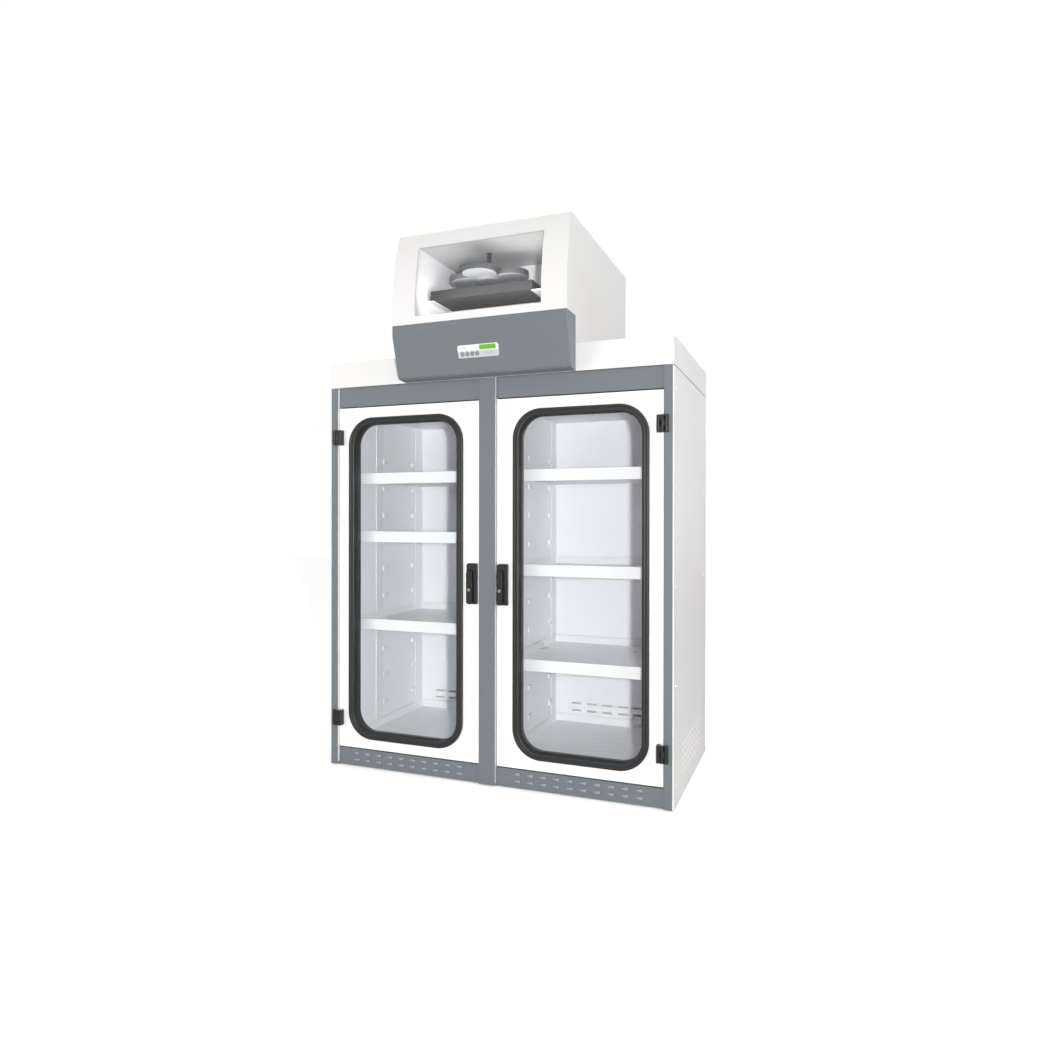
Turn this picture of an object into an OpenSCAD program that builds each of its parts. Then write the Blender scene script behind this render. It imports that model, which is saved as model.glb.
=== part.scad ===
// Two-door ventilated filtering storage cabinet with a filter and blower head.
// Millimetres. +Z is up, the front faces -Y, and the origin is on the floor
// under the middle of the whole object. Depths "d" run back from the post faces.

/* [Cabinet] */
// Width over the two side posts
front_w = 1400; // [1380:10:1460]
// Depth from the post faces to the rear panel
cab_d = 764; // [756:2:800]
// Height of the posts
post_h = 1544; // [1544:1:1560]
// Height of the roof box above the posts
roof_h = 102; // [96:1:110]
// Width of each side post
post_w = 30; // [28:1:32]
// Width of the centre post
centre_w = 66; // [64:1:68]
// Height of the kick panels
kick_h = 72; // [66:1:74]
// Height of the top rails
rail_h = 79; // [70:1:80]
// Thickness of the folded sheet steel
sheet = 2; // [1.5:0.25:2.5]
// Height of the foot glides
glide_h = 12; // [12:1:16]

/* [Doors] */
// How far the doors, rails and kick panels sit behind the post faces
door_setback = 10; // [8:1:12]
// Thickness of a door
door_t = 40; // [36:1:42]
// Gap between a door and the centre post
door_gap = 5; // [4:0.5:6]
// Width of the window seal, outside edge to outside edge
seal_w = 514; // [500:2:516]
// Height of the window seal
seal_h = 1301; // [1280:1:1306]
// Radius of the window seal's outer corners
seal_r = 110; // [90:5:120]
// Width of the seal's section
seal_band = 26; // [22:1:28]
// Height of each hinge
hinge_h = 61; // [50:1:70]
// Height of the handle's housing
handle_h = 156; // [150:1:160]
// Width of the handle's housing
handle_w = 43; // [42:1:46]

/* [Shelves] */
// Height of the top shelf's lip
top_shelf_z = 1197; // [1190:1:1200]
// Pitch of the shelf hooks
hook_pitch = 120; // [118:1:120]
// Height of a shelf's front face
shelf_face = 44; // [40:1:46]
// Depth of the tray in a shelf
tray_depth = 30; // [26:1:32]

/* [Filter head] */
// Width of the head
head_w = 700; // [690:10:720]
// How far the head stands out in front of the posts
head_reach = 104; // [104:1:110]
// Depth of the head behind the post faces
head_d = 750; // [740:2:756]
// Height to the top of the head
head_top = 2100; // [2096:1:2110]
// Height of the ridge between the fascia and the front cover
ridge_z = 1745; // [1740:1:1750]
// Radius of the front cover's backward lean
lean_r = 986; // [950:2:1100]
// Width of the window in the front cover
view_w = 508; // [490:2:510]
// Radius of the impeller
impeller_r = 160; // [140:1:162]
// Number of impeller blades
blade_count = 4; // [3:1:6]

/* [Controls] */
// Width of the control overlay
overlay_w = 165; // [160:1:170]
// Height of the control overlay
overlay_h = 47; // [46:1:50]
// Diameter of a push button
button_d = 14; // [12:0.5:15]
// Pitch of the push buttons
button_pitch = 20; // [18:0.5:21]

/* [Hidden] */
$fn = 64;

// Colours
white_paint = "#f4f4f2";
grey_paint = "#848c91";
dark_grey = "#55585a";
black = "#1c1c1e";
zinc = "#b9bdc0";

// Main planes
front_y = -(cab_d + head_reach) / 2 + head_reach;
half_w = front_w / 2;
side_edge = 5;
outer_x = half_w + side_edge;
skirt_z = 4;
roof_top = post_h + roof_h;
door_out_x = half_w - post_w - 3;
post_in_x = centre_w / 2;
door_in_x = post_in_x + door_gap;
door_z0 = kick_h + 5;
door_z1 = post_h - rail_h - 5;
door_back = door_setback + door_t;
fit_gap = 0.3;

// Inside of the cabinet
liner_x = half_w - post_w - 5;
divider_x = post_in_x + 2;
liner_front = door_back + 4;
divider_front = liner_front + 10;
liner_back = 706;
floor_z = kick_h + 10;
ceiling_z = door_z1 - 10;
hook_out = 9;
latch_z = [785, 855];

// Louvre and screw places in the side and kick panels
vent_cols = 8;
vent_rows = 5;
vent_pitch = 53;
vent_row_pitch = 26;
vent_d = 184;
vent_z = 80;
screw_z = [80, 426, 772, 1118, 1464];
screw_d = [40, 690];
post_screw_z = [221, 521, 769, 1309];
kick_vents = 10;
kick_vent_pitch = 51.4;
kick_rows = [27.5, 54];
slot_h = 4;
slot_w = 20;

// Shelving; a standard is given by its two depths and the way its hooks point
standard_d = [[282, 335, 1], [634, 700, -1]];
hook_count = 10;
hook_h = 18;
hook_run = 40;
hook_top = top_shelf_z - shelf_face;
shelf_out_x = liner_x - 3.5;
shelf_in_x = divider_x + 3.5;
shelf_front = 64;
shelf_back = 700;
lip_t = 1.5;
tray_top = floor_z + 35;

// Door hardware, drawn for the left door
hinge_x = -(half_w - post_w - 3.5);
hinge_d = -8;
hinge_z = [196, 1340];
knuckle_r = 7;
pin_r = 2.5;
handle_x = 63;
handle_z = 762;
window_x = -361;
window_z = 767.5;
pane_t = 5;
pivot_dx = -7.5;
pivot_dz = 41;
spindle_r = 6;
lever_w = 24;
lever_t = 9;
housing_t = 11.5;
lever_back = housing_t + 0.5;
pin_out = housing_t + 5;
lift_angle = 30;
plug_r = 6;
plug_dz = -23;

// Filter head
chamber_x = view_w / 2;
view_z0 = 1774;
view_z1 = 2042;
lean_z = 1780;
chamber_back = 270;
mid_seam = 156;
fan_x = -28;
fan_d = 85;
fan_z = 1935;
fan_t = 26;
fan_shaft_r = 8;
filter_size = [420, 172, 34];
filter_z = 1856;
filter_d = -13;
filter_x = fan_x + 5;

// Fascia, as depths and heights: a short upright, a slant, and a return
slant_top_z = 1705;
slant_foot_d = -61;
slant_foot_z = 1562;
return_z = 1545;
bend_r = 18;
return_rise = 4.75;
slant_angle = atan((slant_foot_d + head_reach) / (slant_top_z - slant_foot_z));
label_z = 1629;
label_d = -head_reach + (slant_top_z - label_z) * tan(slant_angle);
display_size = [66, 17];
display_x = 38.8;
display_v = 12;
button_x0 = -64.4;
button_v = -9.5;

// A box given by its ranges in x, depth and height
module block(x0, x1, d0, d1, z0, z1) {
    translate([x0, front_y + d0, z0]) cube([x1 - x0, d1 - d0, z1 - z0]);
}

// The same thing on both sides of the middle
module both_sides() {
    children();
    mirror([1, 0, 0]) children();
}

// A thing drawn for the left side, put on side -1 (left) or 1 (right)
module on_side(side) {
    if (side < 0) children();
    else mirror([1, 0, 0]) children();
}

// An upright tube of square section
module tube_z(x0, x1, d0, d1, z0, z1) {
    difference() {
        block(x0, x1, d0, d1, z0, z1);
        block(x0 + sheet, x1 - sheet, d0 + sheet, d1 - sheet, z0 - 1, z1 + 1);
    }
}

// A tube of square section that lies along x
module tube_x(x0, x1, d0, d1, z0, z1) {
    difference() {
        block(x0, x1, d0, d1, z0, z1);
        block(x0 - 1, x1 + 1, d0 + sheet, d1 - sheet, z0 + sheet, z1 - sheet);
    }
}

// A rectangle with four round corners, centred
module rounded_rect(w, h, r) {
    square([w - 2 * r, h], center = true);
    square([w, h - 2 * r], center = true);
    for (sx = [-1, 1], sz = [-1, 1])
        translate([sx * (w / 2 - r), sz * (h / 2 - r)]) circle(r);
}

// An upright plate with the outline of the children, from depth d0 to d1
module upright(cx, cz, d0, d1) {
    translate([cx, front_y + d1, cz]) rotate([90, 0, 0])
        linear_extrude(d1 - d0) children();
}

// A prism along x whose outline is given in depth and height
module along_x(x0, x1) {
    translate([x0, front_y, 0]) rotate([90, 0, 90]) linear_extrude(x1 - x0) children();
}

// ---- Cabinet carcass ----

// The four places where the cabinet stands
module at_glides() {
    for (x = [-1, 1], d = [120, cab_d - 70])
        translate([x * (half_w - 70), front_y + d, 0]) children();
}

module base_pan() {
    color(zinc) difference() {
        block(-half_w + 4, half_w - 4, liner_front + 6, cab_d - 8, glide_h, kick_h - 4);
        block(-half_w + 6, half_w - 6, liner_front + 8, cab_d - 10,
            glide_h - 1, kick_h - 4 - sheet);
        at_glides() cylinder(r = 5.05, h = kick_h + 10);
    }
}

module foot_glides() {
    color(dark_grey) at_glides() {
        cylinder(r1 = 20, r2 = 22, h = 4);
        translate([0, 0, 4]) cylinder(r = 22, h = 4);
        translate([0, 0, 8]) cylinder(r = 9, h = glide_h - 8);
        translate([0, 0, glide_h]) cylinder(r = 5, h = kick_h - glide_h - 4);
    }
}

module side_panel() {
    difference() {
        union() {
            block(-outer_x, -outer_x + sheet, 0, cab_d, skirt_z, post_h - 3);
            block(-outer_x, -half_w - fit_gap, 0, sheet, skirt_z, post_h - 3);
            block(-outer_x, -outer_x + 20, cab_d - sheet - 2.5, cab_d - 2.5,
                skirt_z, post_h - 3);
        }
        for (c = [0:vent_cols - 1], r = [0:vent_rows - 1])
            translate([0, c * vent_pitch, r * vent_row_pitch])
                block(-outer_x - 1, -outer_x + sheet + 1,
                    vent_d - slot_w / 2, vent_d + slot_w / 2,
                    vent_z - slot_h / 2, vent_z + slot_h / 2);
        for (z = screw_z, d = screw_d)
            translate([-outer_x - 1, front_y + d, z]) rotate([0, 90, 0])
                cylinder(r = 2.6, h = sheet + 2);
    }
}

module left_side_panel() {
    color(white_paint) side_panel();
}

module right_side_panel() {
    color(white_paint) mirror([1, 0, 0]) side_panel();
}

module rear_panel() {
    color(white_paint) difference() {
        block(-outer_x + 3, outer_x - 3, cab_d - sheet, cab_d, skirt_z, post_h - 3);
        for (x = [-3:3], z = [0:3])
            block(x * 60 - 20, x * 60 + 20, cab_d - sheet - 1, cab_d + 1,
                1380 + z * 24, 1385 + z * 24);
    }
}

// White welded frame behind the grey strips: three stiles, two headers, two sills
module front_frame() {
    frame_d = door_back + 3.5;
    color(white_paint) {
        both_sides() {
            tube_z(-half_w, -half_w + post_w, sheet + 0.2, frame_d, 12, post_h);
            tube_x(-half_w + post_w + fit_gap, -post_in_x - fit_gap,
                door_setback + sheet + 0.2, frame_d, post_h - rail_h + 3, post_h);
            tube_x(-half_w + post_w + fit_gap, -post_in_x - fit_gap,
                door_setback + sheet + 0.2, frame_d, 12, kick_h - 3);
        }
        tube_z(-post_in_x, post_in_x, sheet + 0.2, frame_d, 12, post_h);
    }
}

module side_liners() {
    color(white_paint) both_sides() union() {
        block(-liner_x - sheet, -liner_x, liner_front, liner_back - fit_gap,
            floor_z, ceiling_z);
        block(-half_w, -liner_x, liner_front, liner_front + sheet, floor_z, ceiling_z);
    }
}

// Hollow wall between the two compartments; the latch cams turn in front of it
module centre_divider() {
    color(white_paint) difference() {
        block(-divider_x, divider_x, divider_front, liner_back - fit_gap,
            floor_z, ceiling_z);
        block(-divider_x + sheet, divider_x - sheet, divider_front + sheet,
            liner_back + 1, floor_z - 1, ceiling_z + 1);
    }
}

module back_liner() {
    color(white_paint) difference() {
        block(-liner_x - sheet, liner_x + sheet, liner_back, liner_back + sheet,
            floor_z, ceiling_z);
        for (side = [-1, 1], c = [-3:3], z = [135, 167])
            block(side * 350 + c * 72 - 22, side * 350 + c * 72 + 22,
                liner_back - 1, liner_back + sheet + 1, z - 4, z + 4);
    }
}

module floor_pan() {
    color(white_paint) union() {
        block(-liner_x - sheet, liner_x + sheet, liner_front, liner_back + sheet,
            floor_z - fit_gap - sheet, floor_z - fit_gap);
        block(-liner_x - sheet, liner_x + sheet, liner_front, liner_front + sheet,
            kick_h - 2, floor_z - fit_gap);
    }
}

module ceiling_liner() {
    color(white_paint) difference() {
        union() {
            block(-liner_x - sheet, liner_x + sheet, liner_front, liner_back + sheet,
                ceiling_z + fit_gap, ceiling_z + fit_gap + sheet);
            block(-liner_x - sheet, liner_x + sheet, liner_front, liner_front + sheet,
                ceiling_z + fit_gap, post_h - rail_h + 8);
        }
        for (side = [-1, 1], c = [-4:4])
            block(side * 350 + c * 24 - 5, side * 350 + c * 24 + 5, 220, 480,
                ceiling_z - 1, ceiling_z + 10);
    }
}

// Closed box above the compartments; the hole in its top feeds the head
module roof_box() {
    color(white_paint) difference() {
        block(-outer_x, outer_x, 0, cab_d, post_h + fit_gap, roof_top);
        block(-outer_x + sheet, outer_x - sheet, sheet, cab_d - sheet,
            post_h - 1, roof_top - sheet);
        block(-chamber_x + 20, chamber_x - 20, 20, chamber_back - 20,
            roof_top - sheet - 1, roof_top + 1);
    }
}

module post_covers() {
    color(grey_paint) {
        both_sides()
            block(-half_w, -half_w + post_w, 0, sheet, skirt_z, post_h);
        difference() {
            block(-post_in_x, post_in_x, 0, sheet, skirt_z, post_h);
            for (z = post_screw_z)
                upright(2, z, -1, sheet + 1) circle(2.1);
        }
    }
}

module top_rails() {
    color(grey_paint) both_sides() union() {
        block(-door_out_x, -post_in_x - 1, door_setback, door_setback + sheet,
            post_h - rail_h, post_h);
        block(-door_out_x, -post_in_x - 1, door_setback, door_back,
            post_h - rail_h, post_h - rail_h + sheet);
    }
}

module kick_panels() {
    vent_x0 = -(half_w - 107);
    color(grey_paint) both_sides() difference() {
        union() {
            block(-door_out_x, -post_in_x - 1, door_setback, door_setback + sheet,
                skirt_z, kick_h);
            block(-door_out_x, -post_in_x - 1, door_setback, door_back,
                kick_h - sheet, kick_h);
        }
        for (c = [0:kick_vents - 1], z = kick_rows)
            translate([vent_x0 + c * kick_vent_pitch, 0, 0])
                block(0, slot_w, door_setback - 1, door_setback + sheet + 1,
                    z - slot_h / 2, z + slot_h / 2);
    }
}

// ---- Shelving ----

// One slotted upright with its hooks; dir is the way the hooks point in depth
module shelf_standard(d0, d1, dir) {
    block(0, 3, d0, d1, floor_z + 36, ceiling_z - 12);
    for (k = [-1:hook_count - 2]) {
        top = hook_top - k * hook_pitch;
        if (dir > 0) block(0, hook_out, d1 - 0.5, d1 + hook_run, top - hook_h, top);
        else block(0, hook_out, d0 - hook_run, d0 + 0.5, top - hook_h, top);
    }
}

module shelf_standards() {
    color(white_paint) for (s = standard_d)
        both_sides() {
            translate([-liner_x, 0, 0]) shelf_standard(s[0], s[1], s[2]);
            mirror([1, 0, 0]) translate([divider_x, 0, 0])
                shelf_standard(s[0], s[1], s[2]);
        }
}

// One shelf: a tray with raised lips and a deep folded front and rear edge
module shelf(z_top) {
    fold = 12;
    difference() {
        block(-shelf_out_x, -shelf_in_x, shelf_front, shelf_back,
            z_top - shelf_face + 0.2, z_top);
        block(-shelf_out_x + lip_t, -shelf_in_x - lip_t, shelf_front + fold,
            shelf_back - fold, z_top - tray_depth, z_top + 1);
        block(-shelf_out_x + lip_t, -shelf_in_x - lip_t, shelf_front + fold,
            shelf_back - fold, z_top - shelf_face - 1, z_top - tray_depth - lip_t);
        block(-shelf_out_x + lip_t, -shelf_in_x - lip_t, shelf_front + lip_t,
            shelf_front + fold - lip_t, z_top - shelf_face - 1, z_top - lip_t);
        block(-shelf_out_x + lip_t, -shelf_in_x - lip_t, shelf_back - fold + lip_t,
            shelf_back - lip_t, z_top - shelf_face - 1, z_top - lip_t);
    }
}

module left_shelves() {
    color(white_paint) for (k = [0, 2, 5]) shelf(top_shelf_z - k * hook_pitch);
}

module right_shelves() {
    color(white_paint) mirror([1, 0, 0])
        for (k = [0, 3, 6]) shelf(top_shelf_z - k * hook_pitch);
}

module floor_trays() {
    color(white_paint) both_sides() difference() {
        block(-shelf_out_x, -shelf_in_x, shelf_front, shelf_back,
            floor_z, tray_top);
        block(-shelf_out_x + lip_t, -shelf_in_x - lip_t, shelf_front + lip_t,
            shelf_back - lip_t, floor_z + lip_t, tray_top + 1);
    }
}

// ---- Hinges and catches ----

// One knuckle of a hinge between two heights measured from the hinge's middle
module knuckle(z0, z1) {
    translate([hinge_x, front_y + hinge_d, z0]) difference() {
        cylinder(r = knuckle_r, h = z1 - z0);
        translate([0, 0, -1]) cylinder(r = pin_r + 0.05, h = z1 - z0 + 2);
    }
}

module hinge_frame_leaf(z) {
    third = hinge_h / 6;
    leaf_x = hinge_x - knuckle_r - 0.6;
    difference() {
        union() {
            block(leaf_x - 13, leaf_x, -9, -fit_gap, z - hinge_h / 2, z + hinge_h / 2);
            block(leaf_x - 0.5, hinge_x, -14, -5, z - third, z + third);
            translate([0, 0, z]) knuckle(-third, third);
            translate([leaf_x - 6.5, front_y - 9, z - hinge_h / 2])
                cylinder(r = 6.5, h = hinge_h);
        }
        translate([hinge_x, front_y + hinge_d, z - hinge_h])
            cylinder(r = pin_r, h = 2 * hinge_h);
    }
}

module hinge_frame_leaves() {
    color(black) both_sides() for (z = hinge_z) hinge_frame_leaf(z);
}

// The pins are a press fit in the frame leaves and stand 0.5 mm inside the ends
module hinge_pins() {
    color(zinc) both_sides() for (z = hinge_z)
        translate([hinge_x, front_y + hinge_d, z - hinge_h / 2 + 0.5])
            cylinder(r = pin_r, h = hinge_h - 1);
}

module hinge_door_leaf(z) {
    third = hinge_h / 6;
    leaf_x = hinge_x + knuckle_r + 0.6;
    difference() {
        union() {
            block(leaf_x, leaf_x + 13, -9, door_setback - 0.05,
                z - hinge_h / 2, z + hinge_h / 2);
            translate([leaf_x + 6.5, front_y - 9, z - hinge_h / 2])
                cylinder(r = 6.5, h = hinge_h);
            for (side = [-1, 1]) {
                low = side < 0 ? z - hinge_h / 2 : z + third + 0.4;
                high = side < 0 ? z - third - 0.4 : z + hinge_h / 2;
                block(hinge_x, leaf_x + 0.5, -14, -5, low, high);
                translate([hinge_x, front_y + hinge_d, low])
                    cylinder(r = knuckle_r, h = high - low);
            }
        }
        translate([hinge_x, front_y + hinge_d, z - hinge_h])
            cylinder(r = pin_r + 0.05, h = 2 * hinge_h);
    }
}

module hinge_leaves(side) {
    color(black) on_side(side) for (z = hinge_z) hinge_door_leaf(z);
}

// Magnet blocks under the ceiling, and strike strips that close the gap between
// the centre stile and the divider above and below the latch cams
module door_catches() {
    color(zinc) {
        both_sides()
            block(-divider_x - 60, -divider_x - 12, door_back + 0.8, door_back + 26,
                ceiling_z - 12, ceiling_z);
        for (z = [[floor_z, latch_z[0]], [latch_z[1], ceiling_z]])
            block(-divider_x, divider_x, liner_front, divider_front - fit_gap,
                z[0], z[1]);
    }
}

// ---- Doors, drawn for the left side ----

module window_outline(inset) {
    rounded_rect(seal_w - 2 * inset, seal_h - 2 * inset, seal_r - inset);
}

module door_panel(side) {
    mid = seal_band / 2;
    hx = side * handle_x + pivot_dx;
    color(white_paint) {
        difference() {
            on_side(side) difference() {
                block(-door_out_x, -door_in_x, door_setback, door_back, door_z0, door_z1);
                difference() {
                    block(-door_out_x + sheet, -door_in_x - sheet, door_setback + sheet,
                        door_back + 1, door_z0 + sheet, door_z1 - sheet);
                    upright(window_x, window_z, 0, door_back + 2)
                        window_outline(mid - sheet);
                }
                upright(window_x, window_z, 0, door_back + 2) window_outline(mid);
            }
            upright(hx, handle_z + pivot_dz, 0, door_back) circle(8.5);
        }
        difference() {
            on_side(side) difference() {
                block(-door_out_x + sheet + 0.2, -door_in_x - sheet - 0.2,
                    door_back - sheet, door_back,
                    door_z0 + sheet + 0.2, door_z1 - sheet - 0.2);
                upright(window_x, window_z, 0, door_back + 2)
                    window_outline(mid - sheet - 0.2);
            }
            upright(hx, handle_z + pivot_dz, 0, door_back + 2) circle(8.5);
        }
    }
}

// Rubber seal: a bead on each face, a web through the door, a groove for the pane
module window_seal(side) {
    mid = seal_band / 2;
    pane_d = door_setback + 8;
    color(black) on_side(side) difference() {
        union() {
            upright(window_x, window_z, -1, door_setback - 0.05) window_outline(0);
            upright(window_x, window_z, -1, door_back + 2) window_outline(mid + 0.05);
            upright(window_x, window_z, door_back + 0.05, door_back + 2.5)
                window_outline(4);
        }
        upright(window_x, window_z, -3, door_back + 5) window_outline(seal_band);
        upright(window_x, window_z, pane_d, pane_d + pane_t)
            window_outline(seal_band - 8);
    }
}

module window_pane(side) {
    pane_d = door_setback + 8;
    color("#c8d4d8", 0.3) on_side(side)
        upright(window_x, window_z, pane_d + 0.1, pane_d + pane_t - 0.1)
            window_outline(seal_band - 7.8);
}

// The handles are alike on both doors, so they are placed and not mirrored
module at_handle(side) {
    translate([side * handle_x, front_y + door_setback, handle_z]) children();
}

// A plate standing on the door's face between two heights above it
module on_door(y0, y1) {
    translate([0, -y0, 0]) rotate([90, 0, 0]) linear_extrude(y1 - y0) children();
}

// Outline of the housing: softly rounded on the lever's side, tight on the other
module housing_outline(w, h) {
    r_big = 10;
    r_small = 3;
    translate([-w / 2 + r_big, -h / 2]) square([w - r_big - r_small, h]);
    translate([-w / 2, -h / 2 + r_big]) square([r_big, h - 2 * r_big]);
    translate([w / 2 - r_small, -h / 2 + r_small]) square([r_small, h - 2 * r_small]);
    for (s = [-1, 1]) {
        translate([-w / 2 + r_big, s * (h / 2 - r_big)]) circle(r_big);
        translate([w / 2 - r_small, s * (h / 2 - r_small)]) circle(r_small);
    }
}

module handle_housing(side) {
    rim_x0 = 8.5;
    color(black) at_handle(side) difference() {
        union() {
            on_door(0.05, housing_t - 3) housing_outline(handle_w, handle_h);
            on_door(0.05, housing_t) difference() {
                housing_outline(handle_w, handle_h);
                translate([-handle_w / 2 + 3, -handle_h / 2 - 1])
                    square([handle_w / 2 + rim_x0 - 3, handle_h / 2 + pivot_dz + 1]);
                translate([rim_x0, -handle_h / 2 - 1]) square([handle_w, 8]);
            }
        }
        on_door(2.5, housing_t + 1) translate([pivot_dx, pivot_dz])
            circle(lever_w / 2 + 2.5);
        on_door(-1, 4) translate([pivot_dx, pivot_dz]) circle(spindle_r + 0.08);
    }
}

// Spindle with a flat eye at the front and the latch cam on its inner end
module handle_spindle(side) {
    cam_reach = (side < 0 ? handle_x - pivot_dx : handle_x + pivot_dx) - divider_x + 8;
    cam_y = -(door_t + 6.5);
    color(zinc) at_handle(side) translate([pivot_dx, 0, pivot_dz]) {
        difference() {
            union() {
                on_door(cam_y - 4, 7.5) circle(spindle_r);
                on_door(4, pin_out) square([9.8, 6.4], center = true);
                translate([-4.9, -pin_out, 0]) rotate([0, 90, 0]) cylinder(r = 3.2, h = 9.8);
                on_door(cam_y - 4, cam_y) {
                    circle(9);
                    translate([-6, 0]) square([12, cam_reach]);
                }
            }
            translate([-6, -pin_out, 0]) rotate([0, 90, 0]) cylinder(r = 2.05, h = 12);
        }
    }
}

// Lever with a round head over the spindle and a cross pin through its eye
module handle_lever(side) {
    tail = handle_h / 2 + pivot_dz;
    tail_r = 9;
    color(black) at_handle(side) translate([pivot_dx, 0, pivot_dz]) {
        difference() {
            on_door(lever_back, lever_back + lever_t) {
                circle(lever_w / 2);
                translate([-lever_w / 2, -tail + tail_r])
                    square([lever_w, tail - tail_r]);
                translate([-lever_w / 2 + tail_r, -tail])
                    square([lever_w - 2 * tail_r, tail_r + 1]);
                for (s = [-1, 1])
                    translate([s * (lever_w / 2 - tail_r), -tail + tail_r])
                        circle(tail_r);
            }
            on_door(lever_back - 1, pin_out + 3.5) square([10.4, 20], center = true);
            on_door(lever_back - 1, lever_back + 1.5)
                translate([-lever_w / 2 + 3, -tail + 12]) square([lever_w - 6, tail - 30]);
            on_door(lever_back + 3, lever_back + lever_t + 1)
                translate([0, plug_dz - pivot_dz]) circle(plug_r + 0.05);
            // Relief behind the head, which tips towards the housing as the lever lifts
            translate([0, -pin_out, 0]) rotate([lift_angle, 0, 0])
                translate([-lever_w, pin_out - lever_back - 0.2, -lever_w])
                    cube([2 * lever_w, lever_w, 2 * lever_w]);
            // Long finger bevel down the edge next to the housing's rib
            translate([lever_w / 2, -(lever_back + lever_t), -tail / 2]) rotate([0, 0, 45])
                cube([3, 3, 2 * tail], center = true);
        }
        translate([-lever_w / 2 + 2, -pin_out, 0]) rotate([0, 90, 0])
            cylinder(r = 2, h = lever_w - 4);
    }
}

module lock_plug(side) {
    color("#b49a63") at_handle(side) translate([pivot_dx, 0, plug_dz]) difference() {
        on_door(lever_back + 3.2, lever_back + lever_t + 1) circle(plug_r);
        on_door(lever_back + lever_t - 3, lever_back + lever_t + 2)
            square([1.6, 7.5], center = true);
    }
}

// ---- Filter head ----

// Side outline of the head, drawn in by g all round, from height z0 to the top.
// The front is upright up to lean_z and then leans back on a large arc.
module head_outline(g, z0, d1) {
    centre_d = lean_r - head_reach;
    translate([-head_reach + g, z0]) square([d1 + head_reach - g, lean_z - z0]);
    intersection() {
        translate([centre_d, lean_z]) circle(lean_r - g, $fn = 360);
        translate([-head_reach, lean_z - 0.01])
            square([d1 + head_reach, head_top - g - lean_z + 0.01]);
    }
}

module head_base() {
    color(zinc) difference() {
        block(-head_w / 2 + 4, head_w / 2 - 4, 4, head_d - 4,
            roof_top + 0.1, roof_top + 4);
        block(-chamber_x + 20, chamber_x - 20, 20, chamber_back - 20,
            roof_top - 1, roof_top + 6);
    }
}

// A five-sided cover: outline minus the same outline drawn in by the sheet
module head_shell(d0, d1, z0) {
    intersection() {
        difference() {
            along_x(-head_w / 2, head_w / 2) head_outline(0, z0, head_d);
            along_x(-head_w / 2 + sheet, head_w / 2 - sheet)
                head_outline(sheet, z0 - 5, head_d - sheet);
        }
        block(-head_w, head_w, d0, d1, z0, head_top + 1);
    }
}

module head_front_cover() {
    color(white_paint) difference() {
        head_shell(-head_reach - 1, -0.25, ridge_z);
        block(-chamber_x, chamber_x, -head_reach - 5, -20, view_z0, view_z1);
    }
}

module head_mid_section() {
    color(white_paint) head_shell(0.25, mid_seam - 0.25, roof_top + 0.3);
}

module head_rear_cover() {
    color(white_paint) difference() {
        head_shell(mid_seam + 0.25, head_d, roof_top + 0.3);
        block(-190, 190, 420, 680, head_top - sheet - 1, head_top + 1);
        block(-226, -174, head_d - sheet - 1, head_d + 1, 1700, 1734);
    }
}

module inspection_pane() {
    color("#d8e0e2", 0.25) intersection() {
        difference() {
            along_x(-chamber_x - 14, chamber_x + 14) head_outline(sheet + 0.2, 1700, 100);
            along_x(-chamber_x - 20, chamber_x + 20) head_outline(sheet + 3.2, 1600, 200);
        }
        block(-head_w, head_w, -head_reach, -40, view_z0 - 12, view_z1 + 12);
    }
}

// Floor, two sides and back of the blower chamber, behind the window
module chamber_walls() {
    color(white_paint) intersection() {
        difference() {
            block(-chamber_x - sheet, chamber_x + sheet, -head_reach, chamber_back + sheet,
                view_z0 - sheet, view_z1 - 0.2);
            block(-chamber_x, chamber_x, -head_reach - 1, chamber_back,
                view_z0, view_z1 + 1);
            block(-chamber_x + 20, chamber_x - 20, 20, chamber_back - 20,
                view_z0 - 5, view_z0 + 1);
        }
        along_x(-head_w / 2, head_w / 2) head_outline(sheet + 4, 1700, head_d);
    }
}

module blower_deck() {
    color("#9b9c9d") intersection() {
        difference() {
            block(-chamber_x - sheet, chamber_x + sheet, -head_reach, chamber_back + sheet,
                view_z1, view_z1 + 3);
            translate([fan_x, front_y + fan_d, view_z1 - 1]) cylinder(r = 14, h = 6);
        }
        along_x(-head_w / 2, head_w / 2) head_outline(sheet + 4, 1700, head_d);
    }
}

// Point where two lines cross, each given by a point and a direction
function cross_point(p, u, q, v) =
    let (k = ((q[0] - p[0]) * v[1] - (q[1] - p[1]) * v[0]) / (u[0] * v[1] - u[1] * v[0]))
    [p[0] + k * u[0], p[1] + k * u[1]];

// Outline of the fascia in depth and height, drawn in by g, with its lower bend round
module fascia_outline(g, top, back) {
    slant = [sin(slant_angle), -cos(slant_angle)];
    rise = return_rise;
    ret = [-cos(rise), sin(rise)];
    p_up = [-head_reach + g, 0];
    p_slant = [-head_reach, slant_top_z] + g * [cos(slant_angle), sin(slant_angle)];
    p_ret = [0, return_z] + g * [sin(rise), cos(rise)];
    knee = cross_point(p_up, [0, 1], p_slant, slant);
    corner = cross_point(p_slant, slant, p_ret, ret);
    r = bend_r - g;
    half_corner = acos(slant * ret) / 2;
    centre = corner - (slant + ret) / norm(slant + ret) * r / sin(half_corner);
    cut = r / tan(half_corner);
    foot = p_ret - ret * (back - p_ret[0]) / cos(rise);
    polygon([[back, top], [-head_reach + g, top], knee, corner - slant * cut,
        corner - ret * cut, foot]);
    translate(centre) circle(r);
}

// Places a thing on the fascia's slanted face: x across, y up the slope, z outwards
module on_slant() {
    translate([0, front_y + label_d, label_z]) rotate([90 + slant_angle, 0, 0]) children();
}

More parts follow.
